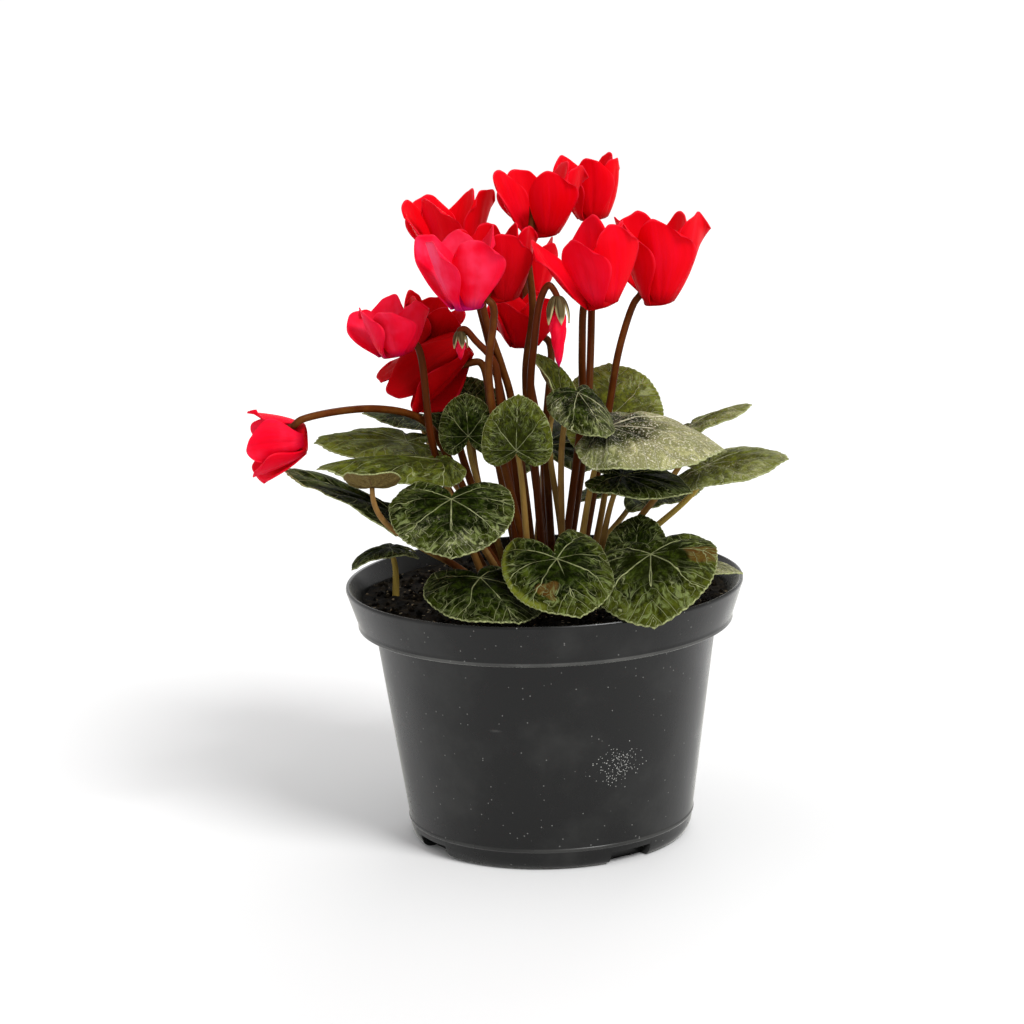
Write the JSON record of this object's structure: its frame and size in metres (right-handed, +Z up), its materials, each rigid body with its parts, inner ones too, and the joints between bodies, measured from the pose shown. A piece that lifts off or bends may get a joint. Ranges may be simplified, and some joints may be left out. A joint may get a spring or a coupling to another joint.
{
  "type": "potted cyclamen",
  "caption": "Small red-flowering cyclamen with silver-veined heart-shaped leaves, growing from a tuber in a round black nursery pot filled with soil.",
  "frame": {"origin": "Centre of the flat underside of the pot, on the axis of the pot.", "axes": "+Z up along the pot's axis. -Y is the side seen in the picture. The plant's longest spread lies near X."},
  "size_m": [0.1734, 0.1345, 0.2188],
  "materials": {
    "pot_plastic": "satin charcoal plastic",
    "soil": "rough dark potting soil",
    "stalks": "soft brown and tan plant skin",
    "flower_stems": "smooth brown-red plant skin",
    "leaves": "satin dark green with silver veins",
    "petals": "satin red, slightly translucent",
    "buds": "satin pink-red"
  },
  "bodies": {
    "root": {"pot": "pot_plastic", "soil": "soil", "tuber_with_leaf_stalks": "stalks", "leaf_small_upright": "leaves", "leaf_front_left": "leaves", "leaf_rim_left": "leaves", "leaf_rim_centre": "leaves", "leaf_rim_right": "leaves", "leaf_between": "leaves", "leaf_far_rim_right": "leaves", "leaf_large_right": "leaves", "leaf_back_right": "leaves", "leaf_back_right_low": "leaves", "leaf_right": "leaves", "leaf_hooded": "leaves", "leaf_under_large": "leaves", "leaf_left_upper": "leaves", "leaf_left_long": "leaves", "leaf_left_turned": "leaves", "leaf_left_hanging": "leaves", "leaf_back_left": "leaves", "leaf_left_rim": "leaves", "leaf_stalk_left_rim": "stalks", "leaf_centre_left": "leaves", "leaf_young": "leaves", "leaf_low_dark": "leaves", "leaf_low_front": "leaves", "leaf_far_left": "leaves", "leaf_behind": "leaves", "leaf_behind_low": "leaves", "bloom_a": "petals", "flower_stem_a": "flower_stems", "bloom_b": "petals", "flower_stem_b": "flower_stems", "bloom_c": "petals", "flower_stem_c": "flower_stems", "bloom_d": "petals", "flower_stem_d": "flower_stems", "bloom_e": "petals", "flower_stem_e": "flower_stems", "bloom_f": "petals", "flower_stem_f": "flower_stems", "bloom_g": "petals", "flower_stem_g": "flower_stems", "bloom_h": "petals", "flower_stem_h": "flower_stems", "bloom_i": "petals", "flower_stem_i": "flower_stems", "bloom_j": "petals", "flower_stem_j": "flower_stems", "bloom_k": "petals", "flower_stem_k": "flower_stems", "bloom_l": "petals", "flower_stem_l": "flower_stems", "bloom_m": "petals", "flower_stem_m": "flower_stems", "bud_long": "buds", "bud_stem_long": "flower_stems", "bud_small": "buds", "bud_stem_small": "flower_stems"}
  },
  "joints": []
}
